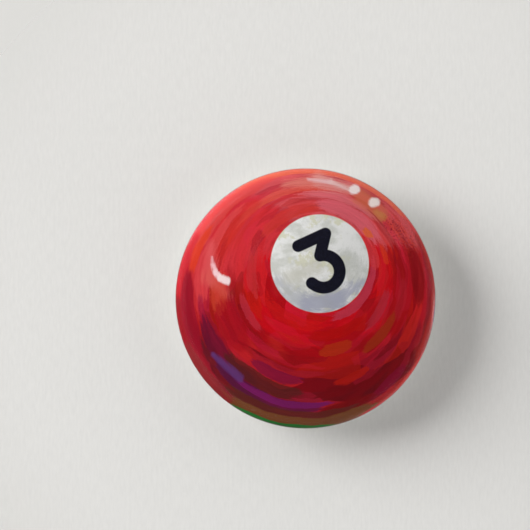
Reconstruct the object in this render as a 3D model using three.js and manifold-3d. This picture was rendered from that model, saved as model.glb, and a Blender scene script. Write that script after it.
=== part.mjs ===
// A pin-back button badge: a domed tinplate shell with a printed paper disc and a clear film
// wrapped over it, crimped onto a pressed ring (the collet) that holds a one-piece wire pin.
//
// Millimetres, +Z up. The badge stands as it is worn: its face looks along -Y, and the plane
// y = 0 is the back rim, the plane that lies on the garment. The badge's own axis is Y.
// Depth below means the distance from the back rim plane towards the face, so y = -depth.

import * as THREE from "three";
import { mergeVertices } from "three/addons/utils/BufferGeometryUtils.js";
import Module from "manifold-3d";

// ---- Driving dimensions ----

const BADGE_RADIUS = 15.875; // a 1 1/4 inch badge
const BADGE_DEPTH = 6.1; // back rim plane to the top of the dome
const FACE_RADIUS = 45; // crown of the face
const SHOULDER_RADIUS = 2.2; // where the face turns into the side
const CURL_RADIUS = 1.1; // where the side curls in behind, to the collet
const CURL_END = (-97 * Math.PI) / 180; // the angle at which the curled edge stops

const FILM_THICKNESS = 0.08;
const PAPER_THICKNESS = 0.12;
const SHELL_THICKNESS = 0.25;
const LAYER_GAP = 0.03;

const COLLET_THICKNESS = 0.25;
const HEM_EDGE = [15.02, 2.02]; // mid-sheet radius and depth of the ring's hidden outer edge
const HEM_BEND = [14.62, 1.82]; // where the hem meets the bead's outer wall
const BEAD_OUTER = 14.44; // mid-sheet radius of the bead's outer wall
const BEAD_INNER = 13.6; // mid-sheet radius of the bead's inner wall
const BEAD_CORNER = 0.3; // mid-sheet radius of the bead's two corners
const BEAD_WALL_DEPTH = 1.5; // mid-sheet depth at which the outer wall turns into the hem
const BEAD_FOOT = [13.58, 0.95]; // the inner wall's foot, and the start of its turn to the cone
const CONE_TURN = [13.48, 1.25];
const FLANGE_OUTER = 13.2; // the cone starts here
const FLANGE_TOP_DEPTH = 1.45; // mid-sheet depth of the cone where it starts
const OPENING_RADIUS = 10.4;
const OPENING_EDGE = [OPENING_RADIUS + 0.1, 2.63]; // mid-sheet point at the opening's edge

const WIRE_RADIUS = 0.39;
const PIN_Z = -0.4; // the pin lies a little below the middle of the badge
const PIN_DEPTH = 1.78; // centreline of the closed pin
const PIN_TIP_X = 10.35;
const PIN_TAPER = 4.2; // length over which the pin is ground to its point
const PIN_BEND_X = -10.3; // the pin is straight from here to its point
const PIVOT_X = -12; // where the wire bends, in the root hole
const PIVOT_DEPTH = 2.15;

const SLOT = { from: 6.17, to: 11.97, middle: 0.09, halfWidth: 1.56, corner: 1.3 };
const TAB_MARGIN = 0.4; // width of the strip of sheet round the slot
const TAB_REACH = 0.2; // how far the tab runs under the cone
const CUT = { shallow: 0.8, deep: 4 }; // depths between which the holes are cut
const ROOT_HOLE = { from: -12.95, to: -11.05, middle: PIN_Z, halfWidth: 0.85, corner: 0.84 };
const RIB = { from: 11.5, to: 13.3, radius: 0.4, depth: 1.95, slope: 0.42 };

const CATCH_INNER_X = 6.72; // the catch's two legs
const CATCH_OUTER_X = 10.27;
const CATCH_TOP_Z = 0.76; // where the legs come out through the slot
const CATCH_LOW_Z = -3.2; // the closed end of the catch
const CATCH_ROOT_DEPTH = 3.22; // the legs' roots, behind the tab
const CATCH_ARCH_DEPTH = 0.9; // where the legs cross over the pin
const CATCH_LOW_DEPTH = 0.42;
const CATCH_CORNER = { x: 0.42, z: 0.55 };

const RING_WIRE_RADIUS = 12; // the wire's run under the cone
const RING_WIRE_DEPTH = 2.66;
const RING_WIRE = { start: (27 * Math.PI) / 180, end: (174 * Math.PI) / 180, points: 14 };

const LATHE_SEGMENTS = 48;
const ARC_STEPS = { face: 4, shoulder: 4, curl: 3, corner: 2 };
const SLOT_CORNER_STEPS = 6;
const WIRE_SIDES = 8;
const SPRING_WIRE_STEPS = 100;
const PIN_BEND_STEPS = 8;

// ---- Solids ----

const wasm = await Module();
wasm.setup();

/** A closed geometry as a manifold-3d solid. */
function solid(geometry) {
  const bare = geometry.clone();
  bare.deleteAttribute("normal");
  bare.deleteAttribute("uv");
  const merged = mergeVertices(bare, 1e-4);
  return new wasm.Manifold(
    new wasm.Mesh({
      numProp: 3,
      vertProperties: new Float32Array(merged.attributes.position.array),
      triVerts: new Uint32Array(merged.index.array),
    }),
  );
}

/** A manifold-3d solid as a geometry that three.js can draw. */
function geometryOf(made) {
  const mesh = made.getMesh();
  const indexed = new THREE.BufferGeometry();
  indexed.setAttribute("position", new THREE.BufferAttribute(mesh.vertProperties, 3));
  indexed.setIndex(new THREE.BufferAttribute(mesh.triVerts, 1));
  const faceted = indexed.toNonIndexed();
  faceted.computeVertexNormals();
  return faceted;
}

/** A point of the part's frame from its x, its height z and its depth. */
function at(x, z, depth) {
  return new THREE.Vector3(x, -depth, z);
}

// ---- Profiles, as points (radius, -depth) for a LatheGeometry about Y ----

/** Points on an arc, both ends included. Angles are in the (radius, depth) plane. */
function arc(centre, radius, start, end, steps) {
  return Array.from({ length: steps + 1 }, (_, i) => {
    const a = start + ((end - start) * i) / steps;
    return [centre[0] + radius * Math.cos(a), centre[1] + radius * Math.sin(a)];
  });
}

/** The wrapped skin's line, a given distance inside the badge's outer surface, from the top of
 * the dome to the curled edge: the face's arc, the shoulder's arc and the curl's arc. */
function skinLine(inside) {
  const faceCentre = [0, BADGE_DEPTH - FACE_RADIUS];
  const shoulderX = BADGE_RADIUS - SHOULDER_RADIUS;
  const reach = FACE_RADIUS - SHOULDER_RADIUS;
  const turn = Math.acos(shoulderX / reach);
  const rimDepth = faceCentre[1] + reach * Math.sin(turn);
  const shoulderCentre = [shoulderX, rimDepth];
  const curlCentre = [BADGE_RADIUS - CURL_RADIUS, rimDepth];
  return [
    ...arc(faceCentre, FACE_RADIUS - inside, Math.PI / 2, turn, ARC_STEPS.face),
    ...arc(shoulderCentre, SHOULDER_RADIUS - inside, turn, 0, ARC_STEPS.shoulder).slice(1),
    ...arc(curlCentre, CURL_RADIUS - inside, 0, CURL_END, ARC_STEPS.curl).slice(1),
  ];
}

/** The mid-sheet line of the collet, from the hem inside the curl to the edge of the opening. */
function colletLine() {
  const crest = COLLET_THICKNESS / 2;
  const cornerDepth = crest + BEAD_CORNER;
  const outerCorner = [BEAD_OUTER - BEAD_CORNER, cornerDepth];
  const innerCorner = [BEAD_INNER + BEAD_CORNER, cornerDepth];
  const quarter = Math.PI / 2;
  return [
    HEM_EDGE,
    HEM_BEND,
    [BEAD_OUTER, BEAD_WALL_DEPTH],
    ...arc(outerCorner, BEAD_CORNER, 0, -quarter, ARC_STEPS.corner),
    ...arc(innerCorner, BEAD_CORNER, -quarter, -2 * quarter, ARC_STEPS.corner),
    BEAD_FOOT,
    CONE_TURN,
    [FLANGE_OUTER, FLANGE_TOP_DEPTH],
    OPENING_EDGE,
  ];
}

/** The unit vector at right angles to the stretch of a line that starts at its point i. */
function normalOf(line, i) {
  const from = line[Math.max(Math.min(i, line.length - 2), 0)];
  const to = line[Math.max(Math.min(i, line.length - 2), 0) + 1];
  return new THREE.Vector2(from[1] - to[1], to[0] - from[0]).normalize();
}

/** A line moved sideways by a distance, with its corners mitred. */
function moved(line, distance) {
  return line.map((point, i) => {
    const before = normalOf(line, i - 1);
    const after = normalOf(line, i);
    const reach = distance / (1 + before.dot(after));
    return [point[0] + (before.x + after.x) * reach, point[1] + (before.y + after.y) * reach];
  });
}

/** The closed outline of a sheet of the given thickness about an open line that runs inwards:
 * in along the side nearer the back, out along the other, and on to where it began. */
function sheetOutline(line, thickness) {
  const backSide = moved(line, thickness / 2);
  const faceSide = moved(line, -thickness / 2).reverse();
  return [...backSide, ...faceSide, backSide[0]];
}

/** A solid of revolution about the badge's axis from an outline in (radius, depth). */
function turned(outline) {
  const points = outline.map(([radius, depth]) => new THREE.Vector2(Math.max(radius, 0), -depth));
  return new THREE.LatheGeometry(points, LATHE_SEGMENTS);
}

// ---- The wrapped skin: shell, paper and film ----

function skinLayer(outside, thickness) {
  return turned([...skinLine(outside), ...skinLine(outside + thickness).reverse()]);
}

// ---- The collet ----

/** A prism between two depths whose outline is a slot along X, grown by a margin all round. */
function slotPrism({ from, to, middle, halfWidth, corner }, margin, shallow, deep) {
  const round = corner + margin;
  const [left, right] = [from + corner, to - corner];
  const [low, high] = [middle - halfWidth + corner, middle + halfWidth - corner];
  const quarter = Math.PI / 2;
  const outline = new THREE.Shape();
  outline.absarc(right, low, round, -quarter, 0, false);
  outline.absarc(right, high, round, 0, quarter, false);
  outline.absarc(left, high, round, quarter, 2 * quarter, false);
  outline.absarc(left, low, round, 2 * quarter, 3 * quarter, false);
  outline.closePath();
  const prism = new THREE.ExtrudeGeometry(outline, {
    depth: deep - shallow,
    bevelEnabled: false,
    curveSegments: SLOT_CORNER_STEPS,
  });
  return prism.translate(0, 0, shallow).rotateX(Math.PI / 2);
}

/** A low rounded rib on the cone, from the slot out to the bead. */
function tipRib() {
  const rib = new THREE.CapsuleGeometry(RIB.radius, RIB.to - RIB.from - 2 * RIB.radius, 3, 10);
  rib.rotateZ(Math.PI / 2 + RIB.slope);
  return rib.translate((RIB.from + RIB.to) / 2, -RIB.depth, PIN_Z);
}

/** The ring with a tab round the slot, which reaches in across the opening's edge. */
function colletSolid() {
  const ring = solid(turned(sheetOutline(colletLine(), COLLET_THICKNESS)));
  const tabTop = OPENING_EDGE[1] - COLLET_THICKNESS / 2;
  const tab = solid(slotPrism(SLOT, TAB_MARGIN, tabTop, tabTop + COLLET_THICKNESS));
  const hubRadius = OPENING_RADIUS + TAB_REACH;
  const hubHeight = 2 * CUT.deep;
  const hub = solid(new THREE.CylinderGeometry(hubRadius, hubRadius, hubHeight, LATHE_SEGMENTS));
  return ring
    .add(tab.intersect(hub))
    .add(solid(tipRib()))
    .subtract(solid(slotPrism(SLOT, 0, CUT.shallow, CUT.deep)))
    .subtract(solid(slotPrism(ROOT_HOLE, 0, CUT.shallow, CUT.deep)));
}

// ---- The wire ----

/** A round wire along a smooth line through points. */
function wire(points, steps) {
  const section = new THREE.Shape();
  section.absarc(0, 0, WIRE_RADIUS, 0, 2 * Math.PI, false);
  return new THREE.ExtrudeGeometry(section, {
    extrudePath: new THREE.CatmullRomCurve3(points, false, "centripetal"),
    steps,
    curveSegments: WIRE_SIDES / 2,
  });
}

/** Points down one leg of the catch. */
function catchLeg(x) {
  return [
    // behind the tab
    at(x, CATCH_TOP_Z + 0.55, CATCH_ROOT_DEPTH),
    at(x, CATCH_TOP_Z + 0.1, CATCH_ROOT_DEPTH - 0.32),
    // up through the slot
    at(x, CATCH_TOP_Z, 2.2),
    at(x, CATCH_TOP_Z - 0.04, 1.5),
    at(x, CATCH_TOP_Z - 0.35, CATCH_ARCH_DEPTH + 0.12),
    // over the pin
    at(x, PIN_Z + 0.2, CATCH_ARCH_DEPTH - 0.04),
    at(x, PIN_Z - 0.5, CATCH_ARCH_DEPTH - 0.08),
    // down to the closed end
    at(x, CATCH_LOW_Z + 1.5, CATCH_LOW_DEPTH + 0.22),
  ];
}

/** The part of the wire that stays put: the catch's loop, then the run under the cone over the
 * top of the badge, to the root hole. */
function springWire() {
  const corner = CATCH_CORNER;
  const [innerX, outerX] = [CATCH_INNER_X, CATCH_OUTER_X];
  const bottom = [
    at(innerX + corner.x, CATCH_LOW_Z + corner.z, CATCH_LOW_DEPTH + 0.07),
    at(innerX + 3 * corner.x, CATCH_LOW_Z, CATCH_LOW_DEPTH),
    at(outerX - 3 * corner.x, CATCH_LOW_Z, CATCH_LOW_DEPTH),
    at(outerX - corner.x, CATCH_LOW_Z + corner.z, CATCH_LOW_DEPTH + 0.07),
  ];
  const run = Array.from({ length: RING_WIRE.points + 1 }, (_, i) => {
    const a = RING_WIRE.start + ((RING_WIRE.end - RING_WIRE.start) * i) / RING_WIRE.points;
    return at(RING_WIRE_RADIUS * Math.cos(a), RING_WIRE_RADIUS * Math.sin(a), RING_WIRE_DEPTH);
  });
  const points = [
    // the wire's free end, behind the tab
    at(innerX, CATCH_TOP_Z + 0.9, CATCH_ROOT_DEPTH + 0.08),
    ...catchLeg(innerX),
    ...bottom,
    ...catchLeg(outerX).reverse(),
    // out of the slot and round to the run
    at(outerX + 0.2, 2.6, CATCH_ROOT_DEPTH + 0.14),
    at(outerX + 0.5, 4, 3),
    ...run,
    // down to the root hole, a hair above the pin's ball
    at(PIVOT_X, PIN_Z + 0.9, 2.58),
    at(PIVOT_X, PIN_Z + WIRE_RADIUS + 0.03, 2.56),
  ];
  return wire(points, SPRING_WIRE_STEPS);
}

/** The moving part of the wire: the pin, from the bend in the root hole to its ground point. */
function pinArm() {
  const profile = [
    [0, PIN_BEND_X],
    [WIRE_RADIUS, PIN_BEND_X],
    [WIRE_RADIUS, PIN_TIP_X - PIN_TAPER],
    [WIRE_RADIUS * 0.62, PIN_TIP_X - PIN_TAPER * 0.42],
    [WIRE_RADIUS * 0.2, PIN_TIP_X - 0.2],
    [0, PIN_TIP_X],
  ];
  const straight = new THREE.LatheGeometry(
    profile.map(([radius, x]) => new THREE.Vector2(radius, x)),
    WIRE_SIDES,
  );
  straight.rotateZ(-Math.PI / 2).translate(0, -PIN_DEPTH, PIN_Z);
  const bend = wire(
    [
      at(PIVOT_X, PIN_Z, PIVOT_DEPTH),
      at(PIVOT_X + 0.5, PIN_Z, 1.94),
      at(PIVOT_X + 1, PIN_Z, 1.8),
      at(PIVOT_X + 1.5, PIN_Z, PIN_DEPTH),
      at(PIN_BEND_X + 0.3, PIN_Z, PIN_DEPTH),
    ],
    PIN_BEND_STEPS,
  );
  const ball = new THREE.SphereGeometry(WIRE_RADIUS, WIRE_SIDES, WIRE_SIDES);
  ball.translate(PIVOT_X, -PIVOT_DEPTH, PIN_Z);
  return geometryOf(solid(straight).add(solid(bend)).add(solid(ball)));
}

// ---- The assembly ----

const MATERIALS = {
  tinplate: { color: 0x8d8f91, roughness: 0.35, metalness: 1 },
  bright_tin: { color: 0xd9d9d6, roughness: 0.25, metalness: 1 },
  spring_wire: { color: 0xc9cccd, roughness: 0.2, metalness: 1 },
  print: { color: 0xb5121f, roughness: 0.6, metalness: 0 },
  film: { color: 0xf4f6f7, roughness: 0.12, metalness: 0, transparent: true, opacity: 0.15 },
};

function named(name, geometry, material) {
  const mesh = new THREE.Mesh(geometry, new THREE.MeshStandardMaterial(MATERIALS[material]));
  mesh.name = name;
  return mesh;
}

const paperInside = FILM_THICKNESS + LAYER_GAP;
const shellInside = paperInside + PAPER_THICKNESS + LAYER_GAP;

const badge = new THREE.Group();
badge.add(
  named("clear_film", skinLayer(0, FILM_THICKNESS), "film"),
  named("printed_paper", skinLayer(paperInside, PAPER_THICKNESS), "print"),
  named("front_shell", skinLayer(shellInside, SHELL_THICKNESS), "tinplate"),
  named("back_collet", geometryOf(colletSolid()), "bright_tin"),
  named("spring_wire", springWire(), "spring_wire"),
  named("pin_arm", pinArm(), "spring_wire"),
);

export default badge;
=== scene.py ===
"""A pin-back button badge on a pale backdrop: its printed face towards -Y, its ring and wire behind.

Metres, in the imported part's frame. The plane y = 0 is the back rim and the badge's axis is Y.
Sizes below are in millimetres times MM. "Depth" is the distance from the back rim plane towards
the face, so y = -depth. The print is laid out in shares of the badge's radius, from its middle.
"""

import math
from math import cos, pi, radians, sin

import bmesh
import bpy
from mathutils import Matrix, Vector
from mathutils.geometry import delaunay_2d_cdt, interpolate_bezier


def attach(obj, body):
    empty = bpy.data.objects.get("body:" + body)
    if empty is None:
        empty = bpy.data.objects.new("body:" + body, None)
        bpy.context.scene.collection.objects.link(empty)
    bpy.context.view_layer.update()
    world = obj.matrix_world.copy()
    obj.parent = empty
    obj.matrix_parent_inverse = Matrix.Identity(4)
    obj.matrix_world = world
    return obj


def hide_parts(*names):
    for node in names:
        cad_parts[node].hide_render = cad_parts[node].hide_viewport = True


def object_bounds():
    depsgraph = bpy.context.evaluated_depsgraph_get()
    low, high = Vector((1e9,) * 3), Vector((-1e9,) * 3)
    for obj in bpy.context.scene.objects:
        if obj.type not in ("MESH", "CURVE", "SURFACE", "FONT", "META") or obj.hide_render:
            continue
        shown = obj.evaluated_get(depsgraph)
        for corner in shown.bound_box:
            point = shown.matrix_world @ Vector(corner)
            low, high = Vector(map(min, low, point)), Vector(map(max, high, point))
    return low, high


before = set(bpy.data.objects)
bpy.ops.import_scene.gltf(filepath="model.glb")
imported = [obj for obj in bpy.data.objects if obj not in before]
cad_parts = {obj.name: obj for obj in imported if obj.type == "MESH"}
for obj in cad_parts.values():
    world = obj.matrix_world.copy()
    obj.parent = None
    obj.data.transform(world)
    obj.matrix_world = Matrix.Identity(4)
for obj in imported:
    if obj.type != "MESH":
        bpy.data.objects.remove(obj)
cad_low, cad_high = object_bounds()

MM = 0.001
RADIUS = cad_high.x
DEPTH = -cad_low.y

# ---- Camera ----

LENS = 150.0
SENSOR = 36.0
VIEW_WIDTH = 4.077 * RADIUS  # width of the view at the badge
BADGE_RIGHT = 0.076 * VIEW_WIDTH  # how far the badge stands to the right of the view's middle
BADGE_BELOW = 0.0626 * VIEW_WIDTH


def make_camera():
    data = bpy.data.cameras.new("camera")
    data.lens = LENS
    data.sensor_width = SENSOR
    data.clip_start = 0.01
    camera = bpy.data.objects.new("camera", data)
    bpy.context.scene.collection.objects.link(camera)
    distance = VIEW_WIDTH * LENS / SENSOR
    camera.location = (-BADGE_RIGHT, -distance, BADGE_BELOW)
    camera.rotation_euler = (pi / 2, 0, 0)
    bpy.context.scene.camera = camera


# ---- Nodes ----


class Net:
    """A node tree with short calls. Apart from add and put, each returns output sockets."""

    def __init__(self, tree):
        self.tree = tree

    def add(self, kind, **settings):
        node = self.tree.nodes.new(kind)
        for name, value in settings.items():
            setattr(node, name, value)
        return node

    def put(self, socket, value):
        if isinstance(value, bpy.types.NodeSocket):
            self.tree.links.new(value, socket)
        else:
            socket.default_value = value

    def math(self, operation, *values, clamp=False):
        node = self.add("ShaderNodeMath", operation=operation, use_clamp=clamp)
        for socket, value in zip(node.inputs, values):
            self.put(socket, value)
        return node.outputs[0]

    def vector(self, operation, *values):
        node = self.add("ShaderNodeVectorMath", operation=operation)
        for socket, value in zip(node.inputs, values):
            self.put(socket, value)
        scalar = operation in ("DOT_PRODUCT", "LENGTH", "DISTANCE")
        return node.outputs["Value" if scalar else "Vector"]

    def split(self, vector):
        node = self.add("ShaderNodeSeparateXYZ")
        self.put(node.inputs[0], vector)
        return node.outputs

    def join(self, x=0.0, y=0.0, z=0.0):
        node = self.add("ShaderNodeCombineXYZ")
        for socket, value in zip(node.inputs, (x, y, z)):
            self.put(socket, value)
        return node.outputs[0]

    def noise(self, vector, scale, detail=2.0, rough=0.5):
        """Noise about 0, from roughly -0.5 to 0.5."""
        node = self.add("ShaderNodeTexNoise")
        self.put(node.inputs["Vector"], vector)
        node.inputs["Scale"].default_value = scale
        node.inputs["Detail"].default_value = detail
        node.inputs["Roughness"].default_value = rough
        return self.math("SUBTRACT", node.outputs["Fac"], 0.5)

    def mix(self, share, first, second):
        node = self.add("ShaderNodeMix", data_type="RGBA")
        self.put(node.inputs[0], share)
        self.put(node.inputs[6], first)
        self.put(node.inputs[7], second)
        return node.outputs[2]

    def ramp(self, value, low, high, out_low=0.0, out_high=1.0):
        """A value mapped from one range to another, held at the ends, with a smooth step."""
        node = self.add("ShaderNodeMapRange", interpolation_type="SMOOTHSTEP")
        for socket, number in zip(node.inputs, (value, low, high, out_low, out_high)):
            self.put(socket, number)
        return node.outputs[0]

    def bump(self, height, distance, strength=1.0):
        node = self.add("ShaderNodeBump")
        self.put(node.inputs["Height"], height)
        node.inputs["Distance"].default_value = distance
        node.inputs["Strength"].default_value = strength
        return node.outputs[0]

    def group(self, tree, *values):
        node = self.add("ShaderNodeGroup")
        node.node_tree = tree
        for socket, value in zip(node.inputs, values):
            self.put(socket, value)
        return node.outputs[0]


def paint(red, green, blue):
    """A colour given as it looks on a screen, 0 to 255, in the renderer's linear values."""
    shares = (red / 255, green / 255, blue / 255)
    linear = [c / 12.92 if c <= 0.04045 else ((c + 0.055) / 1.055) ** 2.4 for c in shares]
    return (*linear, 1.0)


def new_material(name):
    """A material with one Principled shader: the material, its Net and the shader."""
    material = bpy.data.materials.new(name)
    material.use_nodes = True
    net = Net(material.node_tree)
    return material, net, material.node_tree.nodes["Principled BSDF"]


def new_group(name, inputs, output):
    """An empty node group with the given sockets: the group, its Net, inputs and output."""
    tree = bpy.data.node_groups.new(name, "ShaderNodeTree")
    kinds = {"value": "NodeSocketFloat", "vector": "NodeSocketVector", "colour": "NodeSocketColor"}
    for label, kind in inputs:
        tree.interface.new_socket(label, in_out="INPUT", socket_type=kinds[kind])
    tree.interface.new_socket("result", in_out="OUTPUT", socket_type=kinds[output])
    net = Net(tree)
    return tree, net, net.add("NodeGroupInput").outputs, net.add("NodeGroupOutput").inputs[0]


# ---- The print ----

SPOT = (0.103, 0.266)  # middle of the white spot, across and up
SPOT_RADIUS = 0.371
NUMERAL_HALF_WIDTH = 0.0455
# painted shade: the share of the radius at which the print starts to darken towards maroon at its rim
RIM_SHADE_START = 0.978
SPOT_EDGE = 150.0  # how fast a printed edge falls off, per radius
NUMERAL_EDGE = 160.0
MARK_SQUARENESS = 2.6  # 2 gives a brush mark the outline of an ellipse, and more makes it squarer
SHARPNESS = 2.2  # of the edges of all brush marks
PAINTED_LIGHT_TO_RIGHT = 0.25  # painted light: how much the paint lightens over one radius towards the right, to even out the key light from the left
WANDER = 0.05  # how far the rings wander from side to side
BROAD_RINGS, FINE_RINGS = 6.0, 40.0  # how often broad and fine streaks change from ring to ring
FINE_TURNS = 4.0  # how often fine streaks change along a ring
FLECKS = 130.0  # how often the finest grain changes, per radius
RAGGED = 0.012  # how far bristles pull the edges of the dabs
MARGIN_START = 1.75 * MM  # the depth at which the print begins to give way to plain paper
MARGIN_FULL = 1.35 * MM


def swirl_coordinates(net, across, up):
    """Rings that grow from the spot's edge (0) to the badge's rim (1), and the angle round them.

    The ring through a point has its middle (1 - t) of the way out to the spot and the radius
    SPOT_RADIUS + (1 - SPOT_RADIUS) t, which gives t as the root of a quadratic."""
    growth = 1 - SPOT_RADIUS
    dx = net.math("SUBTRACT", across, SPOT[0])
    dy = net.math("SUBTRACT", up, SPOT[1])
    square = SPOT[0] ** 2 + SPOT[1] ** 2 - growth**2
    along = net.math("MULTIPLY_ADD", dx, SPOT[0], net.math("MULTIPLY", dy, SPOT[1]))
    half_linear = net.math("SUBTRACT", along, SPOT_RADIUS * growth)
    distance2 = net.math("MULTIPLY_ADD", dx, dx, net.math("MULTIPLY", dy, dy))
    constant = net.math("SUBTRACT", distance2, SPOT_RADIUS**2)
    under_root = net.math("MULTIPLY_ADD", constant, -square, net.math("POWER", half_linear, 2.0))
    root = net.math("SQRT", net.math("MAXIMUM", under_root, 0.0))
    ring = net.math("DIVIDE", net.math("ADD", half_linear, root), -square)
    left = net.math("SUBTRACT", 1.0, ring)
    from_x = net.math("MULTIPLY_ADD", left, -SPOT[0], across)
    from_y = net.math("MULTIPLY_ADD", left, -SPOT[1], up)
    return ring, net.math("ARCTAN2", from_y, from_x), from_x, from_y


def dab_group():
    """Lays one curved brush mark, with rounded and bristly edges, over a colour."""
    tree, net, given, result = new_group(
        "dab",
        [
            ("under", "colour"), ("colour", "colour"), ("ring", "value"), ("angle", "value"),
            ("bristle", "value"), ("at ring", "value"), ("half width", "value"),
            ("at angle", "value"), ("half length", "value"), ("rough", "value"),
            ("sharp", "value"), ("strength", "value"),
        ],
        "colour",
    )
    off_ring = net.math("SUBTRACT", given["ring"], given["at ring"])
    turn = net.math("SUBTRACT", given["angle"], given["at angle"])
    off_angle = net.math("WRAP", turn, pi, -pi)
    inside = 1.0
    for offset, half in ((off_ring, given["half width"]), (off_angle, given["half length"])):
        reach = net.math("ABSOLUTE", net.math("DIVIDE", offset, half))
        inside = net.math("SUBTRACT", inside, net.math("POWER", reach, MARK_SQUARENESS))
    ragged = net.math("MULTIPLY_ADD", given["bristle"], given["rough"], inside)
    share = net.math("MULTIPLY", ragged, net.math("MULTIPLY", given["sharp"], SHARPNESS), clamp=True)
    smooth = net.ramp(share, 0.0, 1.0)
    mixed = net.mix(net.math("MULTIPLY", smooth, given["strength"]), given["under"], given["colour"])
    net.put(result, mixed)
    return tree


def stroke_group():
    """How much a straight, tapering, round-ended stroke covers a point, from 0 to 1."""
    tree, net, given, result = new_group(
        "stroke",
        [
            ("point", "vector"), ("from", "vector"), ("to", "vector"), ("from radius", "value"),
            ("to radius", "value"), ("edge", "value"), ("ragged", "value"),
        ],
        "value",
    )
    along = net.vector("SUBTRACT", given["to"], given["from"])
    offset = net.vector("SUBTRACT", given["point"], given["from"])
    length2 = net.vector("DOT_PRODUCT", along, along)
    share = net.math("DIVIDE", net.vector("DOT_PRODUCT", offset, along), length2, clamp=True)
    scale = net.add("ShaderNodeVectorMath", operation="SCALE")
    net.put(scale.inputs[0], along)
    net.put(scale.inputs["Scale"], share)
    apart = net.vector("DISTANCE", offset, scale.outputs[0])
    grow = net.math("SUBTRACT", given["to radius"], given["from radius"])
    radius = net.math("MULTIPLY_ADD", grow, share, given["from radius"])
    deep = net.math("ADD", net.math("SUBTRACT", radius, apart), given["ragged"])
    net.put(result, net.math("MULTIPLY_ADD", deep, given["edge"], 0.5, clamp=True))
    return tree


# Brush marks from the first laid to the last: colour, ring and half width, angle and half length
# in degrees, roughness of the edge, sharpness, and strength. Angle 0 is to the right and 90 up.
# The dabs are laid over the broad marks, and the other marks over the dabs.
BROAD_MARKS = [
    ((203, 76, 82), 0.45, 0.75, 92, 88, 1.0, 1.3, 1.0),
    ((203, 44, 52), 0.35, 0.75, 158, 42, 1.0, 1.5, 0.9),
    ((172, 10, 20), 0.62, 0.50, -5, 30, 1.2, 2.2, 0.95),
    ((200, 8, 22), 0.12, 0.28, -78, 116, 0.9, 2.0, 0.95),
    ((150, 8, 18), 0.45, 0.16, -110, 72, 1.1, 2.0, 0.7),
    ((118, 8, 22), 0.64, 0.16, -105, 70, 1.0, 2.0, 0.85),
    ((102, 20, 34), 0.83, 0.16, -105, 58, 1.0, 2.2, 0.95),
    ((100, 8, 16), 0.78, 0.22, -50, 36, 1.2, 1.8, 0.85),
    ((112, 6, 16), 0.94, 0.09, -5, 36, 1.2, 2.0, 0.7),
    ((146, 16, 30), 0.95, 0.10, -170, 34, 1.0, 2.2, 0.85),
]
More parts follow.
